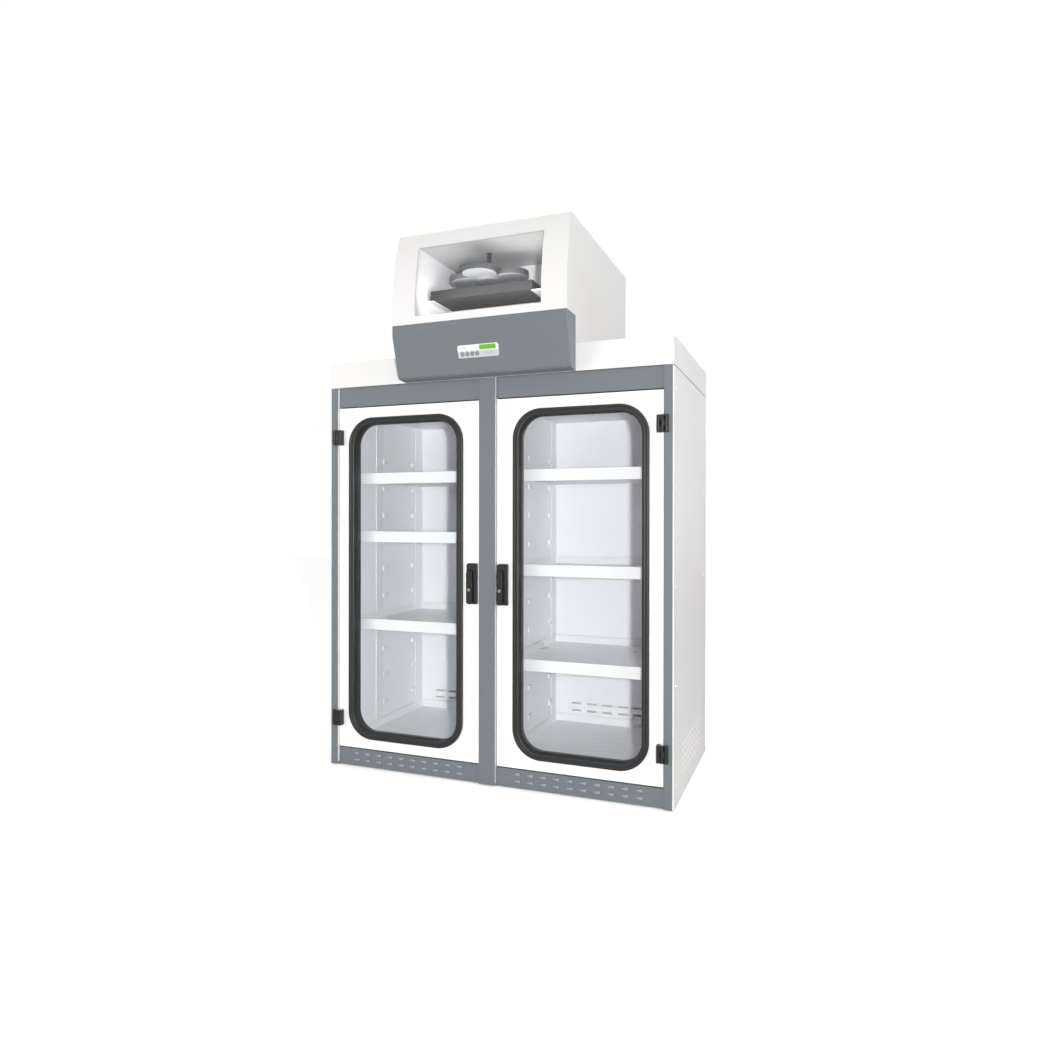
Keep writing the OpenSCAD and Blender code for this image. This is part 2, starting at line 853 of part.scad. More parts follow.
module fascia() {
    color(grey_paint) difference() {
        along_x(-head_w / 2, head_w / 2) fascia_outline(0, ridge_z - 0.4, -0.5);
        along_x(-head_w / 2 + sheet, head_w / 2 - sheet)
            fascia_outline(sheet, ridge_z + 5, 5);
        on_slant() {
            for (k = [0:3]) translate([button_x0 + k * button_pitch, button_v, -6])
                cylinder(r = button_d / 2 + 0.3, h = 10);
            translate([display_x, display_v, 0])
                cube([display_size[0] + 0.6, display_size[1] + 0.6, 10], center = true);
        }
    }
}

module control_overlay() {
    color("#d9dadb") on_slant() difference() {
        translate([0, 0, 0.05]) linear_extrude(0.9) rounded_rect(overlay_w, overlay_h, 7);
        for (k = [0:3]) translate([button_x0 + k * button_pitch, button_v, -1])
            cylinder(r = button_d / 2 + 0.3, h = 4);
        translate([display_x, display_v, 0])
            cube([display_size[0] + 0.6, display_size[1] + 0.6, 6], center = true);
    }
}

module display() {
    color("#7cc51a") on_slant() union() {
        translate([display_x, display_v, -3])
            cube([display_size[0], display_size[1], 7.4], center = true);
        translate([display_x, display_v, -6]) cube([76, 26, 3], center = true);
    }
}

// A push button: a low cap in the overlay, with a collar behind the fascia
module push_button(index) {
    color("#3c3f42") on_slant()
        translate([button_x0 + (index - 1) * button_pitch, button_v, 0]) {
            translate([0, 0, -3.4]) cylinder(r = button_d / 2, h = 5);
            translate([0, 0, -4.9]) cylinder(r = button_d / 2 + 1.5, h = 1.5);
        }
}

module button_1() push_button(1);
module button_2() push_button(2);
module button_3() push_button(3);
module button_4() push_button(4);

module carbon_filter() {
    color("#4a4a4a") translate([filter_x - filter_size[0] / 2, front_y + filter_d, filter_z])
        difference() {
            cube(filter_size);
            translate([8, 8, -1]) cube([filter_size[0] - 16, filter_size[1] - 16, 3]);
            translate([8, 8, filter_size[2] - 2])
                cube([filter_size[0] - 16, filter_size[1] - 16, 3]);
        }
}

// Two ledges that carry the ends of the filter
module filter_rails() {
    left_end = filter_x - filter_size[0] / 2;
    right_end = filter_x + filter_size[0] / 2;
    color(white_paint) {
        block(-chamber_x + 0.1, left_end + 8, filter_d + 10, filter_d + filter_size[1] - 10,
            filter_z - 2.2, filter_z - 0.1);
        block(right_end - 8, chamber_x - 0.1, filter_d + 10,
            filter_d + filter_size[1] - 10, filter_z - 2.2, filter_z - 0.1);
    }
}

module blower_motor() {
    color(dark_grey) translate([fan_x, front_y + fan_d, view_z1 + 3.1]) difference() {
        union() {
            cylinder(r = 95, h = 3);
            cylinder(r = 70, h = 46);
        }
        translate([0, 0, -1]) cylinder(r = fan_shaft_r + 0.05, h = 40);
    }
}

// Broad four-lobed impeller on its shaft; each lobe is a thick petal
module impeller() {
    lobe_r = impeller_r * 0.41;
    hub_r = impeller_r * 0.30;
    color("#a8aaad") translate([fan_x, front_y + fan_d, fan_z]) {
        for (k = [0:blade_count - 1]) rotate([0, 0, k * 360 / blade_count]) {
            translate([impeller_r - lobe_r, 0, 0]) cylinder(r = lobe_r, h = fan_t);
            translate([hub_r * 0.6, -lobe_r * 0.62, 0])
                cube([impeller_r - lobe_r - hub_r * 0.6, lobe_r * 1.24, fan_t]);
        }
        translate([0, 0, -3]) cylinder(r = hub_r, h = fan_t + 6);
        cylinder(r = fan_shaft_r, h = view_z1 + 3 + 34 - fan_z);
    }
}

module exhaust_grille() {
    color(zinc) difference() {
        block(-189.5, 189.5, 420.5, 679.5, head_top - sheet, head_top);
        for (k = [-8:8], row = [0, 1])
            block(k * 21 - 5, k * 21 + 5, 435 + row * 120, 545 + row * 120,
                head_top - sheet - 1, head_top + 1);
    }
}

// Recessed mains inlet with three blades
module power_inlet() {
    color(black) {
        difference() {
            union() {
                block(-225, -175, head_d - 22, head_d + 0.2, 1701, 1733);
                block(-230, -170, head_d + 0.1, head_d + 3, 1696, 1738);
            }
            block(-213, -187, head_d - 18, head_d + 4, 1708, 1726);
        }
        for (k = [-1:1])
            block(-200 + k * 7 - 1, -200 + k * 7 + 1, head_d - 18.5, head_d - 3, 1714, 1720);
    }
}

// ---- Fasteners ----

module side_screw() {
    rotate([0, -90, 0]) {
        cylinder(r1 = 6.5, r2 = 4.5, h = 1.6);
        translate([0, 0, 1.6]) cylinder(r1 = 4.5, r2 = 2, h = 0.7);
        translate([0, 0, -4]) cylinder(r = 2.5, h = 4.1);
    }
}

module panel_screws() {
    color(zinc) {
        both_sides() for (z = screw_z, d = screw_d)
            translate([-outer_x - 0.05, front_y + d, z]) side_screw();
        for (z = post_screw_z) translate([2, front_y - 0.05, z]) rotate([90, 0, 0]) {
            cylinder(r1 = 4, r2 = 2.5, h = 1.4);
            translate([0, 0, -1.9]) cylinder(r = 2, h = 2);
        }
    }
}

module left_door_panel() door_panel(-1);
module left_window_seal() window_seal(-1);
module left_window_pane() window_pane(-1);
module left_hinge_leaves() hinge_leaves(-1);
module left_handle_housing() handle_housing(-1);
module left_handle_spindle() handle_spindle(-1);
module left_handle_lever() handle_lever(-1);
module left_lock_plug() lock_plug(-1);
module right_door_panel() door_panel(1);
module right_window_seal() window_seal(1);
module right_window_pane() window_pane(1);
module right_hinge_leaves() hinge_leaves(1);
module right_handle_housing() handle_housing(1);
module right_handle_spindle() handle_spindle(1);
module right_handle_lever() handle_lever(1);
module right_lock_plug() lock_plug(1);

base_pan();
foot_glides();
left_side_panel();
right_side_panel();
rear_panel();
front_frame();
side_liners();
centre_divider();
back_liner();
floor_pan();
ceiling_liner();
roof_box();
post_covers();
top_rails();
kick_panels();
shelf_standards();
left_shelves();
right_shelves();
floor_trays();
hinge_frame_leaves();
hinge_pins();
door_catches();
panel_screws();
head_base();
head_mid_section();
head_rear_cover();
head_front_cover();
inspection_pane();
chamber_walls();
blower_deck();
fascia();
control_overlay();
display();
carbon_filter();
filter_rails();
blower_motor();
exhaust_grille();
power_inlet();
impeller();
button_1();
button_2();
button_3();
button_4();
left_door_panel();
left_window_seal();
left_window_pane();
left_hinge_leaves();
left_handle_housing();
left_handle_spindle();
left_handle_lever();
left_lock_plug();
right_door_panel();
right_window_seal();
right_window_pane();
right_hinge_leaves();
right_handle_housing();
right_handle_spindle();
right_handle_lever();
right_lock_plug();
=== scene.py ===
import math

import bmesh
import bpy
import numpy as np
from mathutils import Matrix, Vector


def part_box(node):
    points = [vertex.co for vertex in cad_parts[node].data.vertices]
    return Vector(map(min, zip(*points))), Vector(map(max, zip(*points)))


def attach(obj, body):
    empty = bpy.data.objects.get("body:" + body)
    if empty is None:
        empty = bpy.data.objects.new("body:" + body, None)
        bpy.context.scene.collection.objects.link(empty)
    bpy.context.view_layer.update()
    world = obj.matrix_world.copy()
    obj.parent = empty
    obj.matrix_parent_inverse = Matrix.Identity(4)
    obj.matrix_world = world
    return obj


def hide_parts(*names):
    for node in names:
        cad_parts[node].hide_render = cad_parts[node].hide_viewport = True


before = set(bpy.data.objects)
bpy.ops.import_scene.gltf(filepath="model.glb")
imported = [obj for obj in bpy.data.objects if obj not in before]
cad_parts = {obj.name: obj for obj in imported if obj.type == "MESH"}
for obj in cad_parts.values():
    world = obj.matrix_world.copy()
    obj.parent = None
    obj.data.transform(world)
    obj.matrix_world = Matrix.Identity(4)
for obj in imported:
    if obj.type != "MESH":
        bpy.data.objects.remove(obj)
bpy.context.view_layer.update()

# ---------------------------------------------------------------- camera
# Level camera at about half the cabinet's height, turned 21.6 degrees so that it
# sees the fronts and a sliver of the right side panel.
camera = bpy.data.objects.new("camera", bpy.data.cameras.new("camera"))
bpy.context.scene.collection.objects.link(camera)
camera.data.sensor_width = 36
camera.data.lens = 26.474
camera.data.clip_end = 60
camera.matrix_world = (
    Matrix.Translation((1.18157, -2.97284, 1.00963))
    @ Matrix.Rotation(math.radians(21.6106), 4, "Z")
    @ Matrix.Rotation(math.radians(90 - 0.0884), 4, "X")
    @ Matrix.Rotation(math.radians(0.0717), 4, "Z"))
bpy.context.scene.camera = camera
bpy.context.scene.view_settings.view_transform = "Standard"

# ---------------------------------------------------------------- studio
# A pale floor that fades into a white surround, with a soft shadow painted round the
# cabinet's foot, soft light from all round, one small lamp beside the camera, a soft
# lamp at each side and one in the head.
world = bpy.data.worlds.new("studio")
bpy.context.scene.world = world
world.use_nodes = True
sky = world.node_tree
sky_rays = sky.nodes.new("ShaderNodeLightPath")
sky_seen = sky.nodes.new("ShaderNodeMath")
sky_seen.operation = "MAXIMUM"
sky_seen_or_mirrored = sky.nodes.new("ShaderNodeMath")
sky_seen_or_mirrored.operation = "MAXIMUM"
sky_level = sky.nodes.new("ShaderNodeMapRange")
sky_level.inputs["To Min"].default_value = 0.37
sky_level.inputs["To Max"].default_value = 1.0
sky.nodes["Background"].inputs["Color"].default_value = (1.0, 1.0, 1.0, 1)
sky.links.new(sky_rays.outputs["Is Camera Ray"], sky_seen.inputs[0])
sky.links.new(sky_rays.outputs["Is Glossy Ray"], sky_seen.inputs[1])
sky.links.new(sky_seen.outputs[0], sky_seen_or_mirrored.inputs[0])
sky.links.new(sky_rays.outputs["Is Transmission Ray"], sky_seen_or_mirrored.inputs[1])
sky.links.new(sky_seen_or_mirrored.outputs[0], sky_level.inputs["Value"])
sky.links.new(sky_level.outputs["Result"],
              sky.nodes["Background"].inputs["Strength"])

floor_half = 14
floor_mesh = bpy.data.meshes.new("floor")
floor_mesh.from_pydata(
    [(-floor_half, -floor_half, 0), (floor_half, -floor_half, 0),
     (floor_half, floor_half, 0), (-floor_half, floor_half, 0)], [], [(0, 1, 2, 3)])
floor = bpy.data.objects.new("floor", floor_mesh)
bpy.context.scene.collection.objects.link(floor)
floor_paint = bpy.data.materials.new("studio_floor")
floor_paint.use_nodes = True
tree = floor_paint.node_tree
shader = tree.nodes["Principled BSDF"]
shader.inputs["Base Color"].default_value = (0.82, 0.82, 0.82, 1)
shader.inputs["Roughness"].default_value = 0.9
shader.inputs["Specular IOR Level"].default_value = 0.0
floor_rays = tree.nodes.new("ShaderNodeLightPath")
floor_glow = tree.nodes.new("ShaderNodeEmission")
floor_share = tree.nodes.new("ShaderNodeMath")
floor_share.operation = "MULTIPLY"
floor_share.inputs[1].default_value = 0.66
# The floor's glow seen by the camera is cut by ambient occlusion: a painted shadow that
# darkens the floor near the cabinet's foot.
floor_painted_shadow_occlusion = tree.nodes.new("ShaderNodeAmbientOcclusion")
floor_painted_shadow_occlusion.inputs["Distance"].default_value = 0.22
floor_painted_shadow_occlusion.samples = 16
floor_glow_with_painted_shadow = tree.nodes.new("ShaderNodeMath")
floor_glow_with_painted_shadow.operation = "MULTIPLY"
floor_sum = tree.nodes.new("ShaderNodeAddShader")
tree.links.new(floor_rays.outputs["Is Camera Ray"], floor_share.inputs[0])
tree.links.new(floor_share.outputs[0], floor_glow_with_painted_shadow.inputs[0])
tree.links.new(floor_painted_shadow_occlusion.outputs["AO"], floor_glow_with_painted_shadow.inputs[1])
tree.links.new(floor_glow_with_painted_shadow.outputs[0], floor_glow.inputs["Strength"])
tree.links.new(shader.outputs[0], floor_sum.inputs[0])
tree.links.new(floor_glow.outputs[0], floor_sum.inputs[1])
tree.links.new(floor_sum.outputs[0], tree.nodes["Material Output"].inputs["Surface"])
floor_mesh.materials.append(floor_paint)

for name, place, aim, energy, size in (
        ("side_lamp_right", (4.6, -1.6, 2.2), (0, 0, 1.1), 74, 2.6),
        ("side_lamp_left", (-3.0, -3.4, 1.5), (0, 0, 1.1), 50, 1.6),
        ("head_lamp", (0.02, -0.418, 1.84), (0.0, -0.10, 2.0), 0.85, 0.42)):
    lamp = bpy.data.objects.new(name, bpy.data.lights.new(name, "AREA"))
    bpy.context.scene.collection.objects.link(lamp)
    lamp.data.energy = energy
    lamp.data.size = size
    if name == "head_lamp":
        lamp.data.shape = "RECTANGLE"
        lamp.data.size_y = 0.05
    lamp.location = place
    lamp.visible_camera = False
    lamp.visible_glossy = False
    toward = np.array(aim) - np.array(place)
    lamp.rotation_euler = (math.atan2(math.hypot(toward[0], toward[1]), -toward[2]), 0,
                           math.atan2(-toward[0], toward[1]))

front_lamp = bpy.data.objects.new(
    "front_lamp", bpy.data.lights.new("front_lamp", "POINT"))
bpy.context.scene.collection.objects.link(front_lamp)
front_lamp.location = (1.383, -2.978, 1.02)
front_lamp.data.shadow_soft_size = 0.05
front_lamp.data.energy = 1.0
front_lamp.data.use_nodes = True
glow = front_lamp.data.node_tree
even = glow.nodes.new("ShaderNodeLightFalloff")
even.inputs["Strength"].default_value = 25.5
glow.links.new(even.outputs["Constant"], glow.nodes["Emission"].inputs["Strength"])

# ---------------------------------------------------------------- outer steel panels
# Side panels, rear panel, front frame, roof box and the head's covers: folded steel
# sheet, powder coated in a warm white with a fine orange peel.


def powder_coat(name, colour, rough, warm=(1.0, 0.985, 0.965), peel_size=520.0):
    """Powder paint. Tone = colour drifting to a slightly warmer tone over decimetres;
    gloss drifts likewise; a millimetre-size noise gives the orange peel as bump."""
    material = bpy.data.materials.new(name)
    material.use_nodes = True
    tree = material.node_tree
    shader = tree.nodes["Principled BSDF"]
    place = tree.nodes.new("ShaderNodeTexCoord")
    drift = tree.nodes.new("ShaderNodeTexNoise")
    drift.inputs["Scale"].default_value = 3.1
    drift.inputs["Detail"].default_value = 3
    peel = tree.nodes.new("ShaderNodeTexNoise")
    peel.inputs["Scale"].default_value = peel_size
    peel.inputs["Detail"].default_value = 2
    tone = tree.nodes.new("ShaderNodeMix")
    tone.data_type = "RGBA"
    tone.inputs["A"].default_value = (*colour, 1)
    tone.inputs["B"].default_value = (*[c * w * 0.985 for c, w in zip(colour, warm)], 1)
    gloss = tree.nodes.new("ShaderNodeMapRange")
    gloss.inputs["From Min"].default_value = 0.3
    gloss.inputs["From Max"].default_value = 0.7
    gloss.inputs["To Min"].default_value = rough - 0.05
    gloss.inputs["To Max"].default_value = rough + 0.06
    bump = tree.nodes.new("ShaderNodeBump")
    bump.inputs["Strength"].default_value = 0.16
    bump.inputs["Distance"].default_value = 0.0004
    tree.links.new(place.outputs["Object"], drift.inputs["Vector"])
    tree.links.new(place.outputs["Object"], peel.inputs["Vector"])
    tree.links.new(drift.outputs["Fac"], tone.inputs["Factor"])
    tree.links.new(drift.outputs["Fac"], gloss.inputs["Value"])
    tree.links.new(peel.outputs["Fac"], bump.inputs["Height"])
    tree.links.new(tone.outputs["Result"], shader.inputs["Base Color"])
    tree.links.new(gloss.outputs["Result"], shader.inputs["Roughness"])
    tree.links.new(bump.outputs["Normal"], shader.inputs["Normal"])
    return material


white_coat = powder_coat("white_powder_coat", (0.765, 0.763, 0.756), 0.42)
for name in ("left_side_panel", "right_side_panel", "rear_panel", "front_frame",
             "roof_box", "head_mid_section", "head_rear_cover", "head_front_cover"):
    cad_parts[name].material_slots[0].material = white_coat

# ---------------------------------------------------------------- side louvres
# Rows of small hoods pressed outwards from each side panel over its slots, in the
# panel's own sheet, in a lighter white than the panel as a painted highlight. Each hood
# is a shallow teardrop, open at its rear end.
mm = 0.001


def patch_mesh(name, points, wrap=True):
    """Mesh of k like patches, points[k, m, n, 3]. Neighbouring points of each m by n
    grid are joined in fours; wrap joins the last column to the first. Poles are
    merged and the faces turned outwards."""
    k, m, n, _ = points.shape
    row = np.arange(m - 1)[:, None]
    col = np.arange(n if wrap else n - 1)[None, :]
    after = (col + 1) % n
    quad = np.stack([row * n + col, row * n + after, (row + 1) * n + after,
                     (row + 1) * n + col], -1).reshape(-1, 4)
    quads = (np.arange(k)[:, None, None] * (m * n) + quad[None]).reshape(-1, 4)
    mesh = bpy.data.meshes.new(name)
    mesh.from_pydata(points.reshape(-1, 3).tolist(), [], quads.tolist())
    work = bmesh.new()
    work.from_mesh(mesh)
    bmesh.ops.remove_doubles(work, verts=work.verts, dist=2e-6)
    bmesh.ops.dissolve_degenerate(work, edges=work.edges, dist=1e-7)
    bmesh.ops.recalc_face_normals(work, faces=work.faces)
    work.to_mesh(mesh)
    work.free()
    mesh.shade_smooth()
    piece = bpy.data.objects.new(name, mesh)
    bpy.context.scene.collection.objects.link(piece)
    return piece


def louvre_hood(length, width, height, wall):
    """Hood of thin sheet, as [along, out, up]. Width and height swell with the sine of
    the way along, from a pointed tip to a full open mouth; the section is a half
    ellipse outside and a second one drawn in by the wall inside."""
    along = np.linspace(0.0, 1.0, 13)
    swell = np.sin(np.clip(along * 1.12, 0, 1) * math.pi / 2) ** 0.8
    arc = np.linspace(0, math.pi, 13)
    outer_w, outer_h = width / 2 * swell, height * swell
    inner_w, inner_h = np.maximum(outer_w - wall, 0), np.maximum(outer_h - wall, 0)
    outer = np.stack([outer_h[:, None] * np.sin(arc), outer_w[:, None] * np.cos(arc)], -1)
    inner = np.stack([inner_h[:, None] * np.sin(arc[::-1]),
                      inner_w[:, None] * np.cos(arc[::-1])], -1)
    loop = np.concatenate([outer, inner], 1)
    mouth = (outer[-1] + inner[-1][::-1]) / 2
    loop = np.concatenate([loop, np.concatenate([mouth, mouth[::-1]])[None]], 0)
    reach = np.append(along, 1.01)[:, None] * length
    return np.concatenate([np.broadcast_to(reach[..., None], loop.shape[:2] + (1,)),
                           loop], -1)


hood = louvre_hood(27 * mm, 11 * mm, 2.2 * mm, 0.7 * mm)
side_columns = (-159 + 53 * np.arange(8)) * mm
side_rows = (80 + 26 * np.arange(5)) * mm
side_sheet = 704.85 * mm
side_hoods = np.stack([
    np.stack([side * (side_sheet + hood[..., 1]), y + hood[..., 0], z + hood[..., 2]], -1)
    for side in (-1, 1) for y in side_columns for z in side_rows])
side_louvres = patch_mesh("side_louvres", side_hoods)
# Lighter than the panel's coat: a painted highlight on the hoods.
side_louvres.data.materials.append(powder_coat(
    "side_hood_painted_highlight_coat", (0.93, 0.928, 0.92), 0.3))
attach(side_louvres, "cabinet")

# ---------------------------------------------------------------- base and fittings
# Base pan, hinge pins, magnet blocks, spindles, head base and exhaust grille: steel
# with a dull zinc plating that shows faint spangle.
zinc = bpy.data.materials.new("zinc_plated_steel")
zinc.use_nodes = True
tree = zinc.node_tree
shader = tree.nodes["Principled BSDF"]
shader.inputs["Metallic"].default_value = 0.85
place = tree.nodes.new("ShaderNodeTexCoord")
spangle = tree.nodes.new("ShaderNodeTexVoronoi")
spangle.inputs["Scale"].default_value = 160
tone = tree.nodes.new("ShaderNodeMix")
tone.data_type = "RGBA"
tone.inputs["A"].default_value = (0.52, 0.53, 0.54, 1)
tone.inputs["B"].default_value = (0.64, 0.65, 0.66, 1)
gloss = tree.nodes.new("ShaderNodeMapRange")
gloss.inputs["To Min"].default_value = 0.34
gloss.inputs["To Max"].default_value = 0.5
tree.links.new(place.outputs["Object"], spangle.inputs["Vector"])
tree.links.new(spangle.outputs["Color"], tone.inputs["Factor"])
tree.links.new(spangle.outputs["Distance"], gloss.inputs["Value"])
tree.links.new(tone.outputs["Result"], shader.inputs["Base Color"])
tree.links.new(gloss.outputs["Result"], shader.inputs["Roughness"])
for name in ("base_pan", "hinge_pins", "door_catches", "head_base", "exhaust_grille",
             "left_handle_spindle", "right_handle_spindle"):
    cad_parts[name].material_slots[0].material = zinc

# ---------------------------------------------------------------- foot glides
# Four levelling glides: hard rubber pads moulded on steel studs.


def moulded_black(name, colour, rough, edge, grain, depth):
    """Moulded black plastic or rubber: the given colour with a slow drift, a fine
    grain as bump, and every sharp edge shaded as if rounded by the given radius."""
    material = bpy.data.materials.new(name)
    material.use_nodes = True
    tree = material.node_tree
    shader = tree.nodes["Principled BSDF"]
    place = tree.nodes.new("ShaderNodeTexCoord")
    grains = tree.nodes.new("ShaderNodeTexNoise")
    grains.inputs["Scale"].default_value = grain
    grains.inputs["Detail"].default_value = 2
    drift = tree.nodes.new("ShaderNodeTexNoise")
    drift.inputs["Scale"].default_value = 14
    tone = tree.nodes.new("ShaderNodeMix")
    tone.data_type = "RGBA"
    tone.inputs["A"].default_value = (*colour, 1)
    tone.inputs["B"].default_value = (*[1.35 * c for c in colour], 1)
    gloss = tree.nodes.new("ShaderNodeMapRange")
    gloss.inputs["To Min"].default_value = rough - 0.06
    gloss.inputs["To Max"].default_value = rough + 0.08
    bevel = tree.nodes.new("ShaderNodeBevel")
    bevel.samples = 6
    bevel.inputs["Radius"].default_value = edge
    bump = tree.nodes.new("ShaderNodeBump")
    bump.inputs["Strength"].default_value = 0.2
    bump.inputs["Distance"].default_value = depth
    tree.links.new(place.outputs["Object"], grains.inputs["Vector"])
    tree.links.new(place.outputs["Object"], drift.inputs["Vector"])
    tree.links.new(drift.outputs["Fac"], tone.inputs["Factor"])
    tree.links.new(drift.outputs["Fac"], gloss.inputs["Value"])
    tree.links.new(grains.outputs["Fac"], bump.inputs["Height"])
    tree.links.new(bevel.outputs["Normal"], bump.inputs["Normal"])
    tree.links.new(tone.outputs["Result"], shader.inputs["Base Color"])
    tree.links.new(gloss.outputs["Result"], shader.inputs["Roughness"])
    tree.links.new(bump.outputs["Normal"], shader.inputs["Normal"])
    return material


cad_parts["foot_glides"].material_slots[0].material = moulded_black(
    "glide_rubber", (0.03, 0.03, 0.031), 0.6, 0.0012, 900, 0.0002)

# ---------------------------------------------------------------- inner lining
# Liners, divider, ceiling, floor pan, slotted standards, tray shelves and floor
# trays: thinner sheet in a smoother, cooler white than the outside.
liner_coat = powder_coat("liner_powder_coat", (0.93, 0.938, 0.955), 0.36,
                         (0.985, 0.99, 1.0), 700.0)
for name in ("side_liners", "centre_divider", "back_liner", "floor_pan",
             "ceiling_liner", "filter_rails"):
    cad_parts[name].material_slots[0].material = liner_coat
shelf_coat = powder_coat("shelf_powder_coat", (0.87, 0.877, 0.888), 0.32,
                         (0.99, 0.995, 1.0), 700.0)
for name in ("shelf_standards", "left_shelves", "right_shelves", "floor_trays",
             "chamber_walls"):
    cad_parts[name].material_slots[0].material = shelf_coat

# ---------------------------------------------------------------- grey strips
# Post covers, top rails, kick panels and fascia: folded sheet in a satin blue-grey
# coat, clipped over the white frame.
grey_coat = powder_coat("grey_powder_coat", (0.15, 0.171, 0.183), 0.36,
                        (0.98, 1.0, 1.02), 600.0)
for name in ("post_covers", "top_rails", "kick_panels", "fascia"):
    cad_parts[name].material_slots[0].material = grey_coat

# ---------------------------------------------------------------- kick louvres
# Two rows of hoods pressed out of each kick panel over its slots, in a lighter and
# shinier grey than the panel; the lighter tone is a painted highlight.
hood = louvre_hood(26 * mm, 10.5 * mm, 4.6 * mm, 0.9 * mm)
kick_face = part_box("kick_panels")[0].y + 0.15 * mm
kick_columns = (np.concatenate([-597 + 51.4 * np.arange(10),
                                569 - 51.4 * np.arange(10)])) * mm
kick_rows = np.array([27.5, 54]) * mm
kick_hoods = np.stack([
    np.stack([x + hood[..., 0], kick_face - hood[..., 1], z + hood[..., 2]], -1)
    for x in kick_columns for z in kick_rows])
kick_louvres = patch_mesh("kick_louvres", kick_hoods)
# Lighter than the kick panel's grey: a painted highlight on the hoods.
kick_louvres.data.materials.append(powder_coat(
    "kick_hood_painted_highlight_coat", (0.30, 0.325, 0.34), 0.26, (1.0, 1.0, 1.0), 600.0))
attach(kick_louvres, "cabinet")

# ---------------------------------------------------------------- doors
# Two folded steel doors, a front skin and a rear tray, in the brightest and
# smoothest white of the cabinet.
door_coat = powder_coat("door_powder_coat", (0.92, 0.923, 0.923), 0.34,
                        (1.0, 0.995, 0.99), 650.0)
for name in ("left_door_panel", "right_door_panel"):
    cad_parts[name].material_slots[0].material = door_coat

# ---------------------------------------------------------------- window seals
# One extruded rubber profile round each window: a broad bead with a locking groove
# on the front, a lip on the glass, a web through the door and a bead inside.
seal_rubber = moulded_black("seal_rubber", (0.0125, 0.0118, 0.0118), 0.42, 0.0004, 700,
                            0.0002)
# Section as (drawn in from the outer edge, depth behind the post faces)
seal_section = np.array([
    (0.0, 9.9), (0.0, 3.2), (0.35, 1.6), (1.2, 0.3), (2.6, -0.6), (4.6, -1.0),
    (9.2, -1.0), (10.1, -0.7), (10.7, 0.5), (11.3, 0.9), (12.0, 0.5), (12.6, -0.6),
    (13.6, -1.0), (20.5, -0.9), (23.0, -0.2), (24.8, 1.2), (25.8, 3.2), (26.0, 5.5),
    (26.0, 14.5), (27.4, 16.6), (28.0, 17.9), (26.0, 18.1), (26.0, 22.9), (28.0, 23.1),
    (27.4, 24.6), (26.0, 27.0), (26.0, 49.5), (25.4, 51.6), (23.8, 52.5), (6.2, 52.5),
    (4.5, 51.9), (4.0, 50.2), (13.1, 50.2), (13.1, 9.9)]) * mm


def seal_ring(centre_x, centre_z, width, height, radius, face_y, section):
    """Section carried round a rounded rectangle. Each corner is an arc about its own
    centre, of the corner radius less how far the section's point is drawn in; the
    straight runs join one arc's end to the next one's start."""
    turn = np.radians(np.arange(0, 91, 5.0))
    angle = np.concatenate([turn + math.pi / 2 * q for q in range(4)])
    side_x = np.repeat([1, -1, -1, 1], len(turn)) * (width / 2 - radius)
    side_z = np.repeat([1, 1, -1, -1], len(turn)) * (height / 2 - radius)
    reach = radius - section[:, 0][None, :]
    x = centre_x + side_x[:, None] + reach * np.cos(angle)[:, None]
    z = centre_z + side_z[:, None] + reach * np.sin(angle)[:, None]
    y = np.broadcast_to(face_y + section[:, 1][None, :], x.shape)
    ring = np.stack([x, y, z], -1)
    return np.concatenate([ring, ring[:1]], 0)[None]


post_face = -330 * mm
for side, sign in (("left", -1), ("right", 1)):
    ring = seal_ring(sign * 361 * mm, 767.5 * mm, 514 * mm, 1301 * mm, 110 * mm,
                     post_face, seal_section)
    seal = patch_mesh(side + "_window_rubber", ring)
    seal.data.materials.append(seal_rubber)
    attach(seal, side + "_door")
    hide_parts(side + "_window_seal")

# ---------------------------------------------------------------- panes
# Toughened float glass in the doors and a thinner clear sheet in the head: nearly
# clear, a faint green-blue in the body and a mirror that grows at a slant.


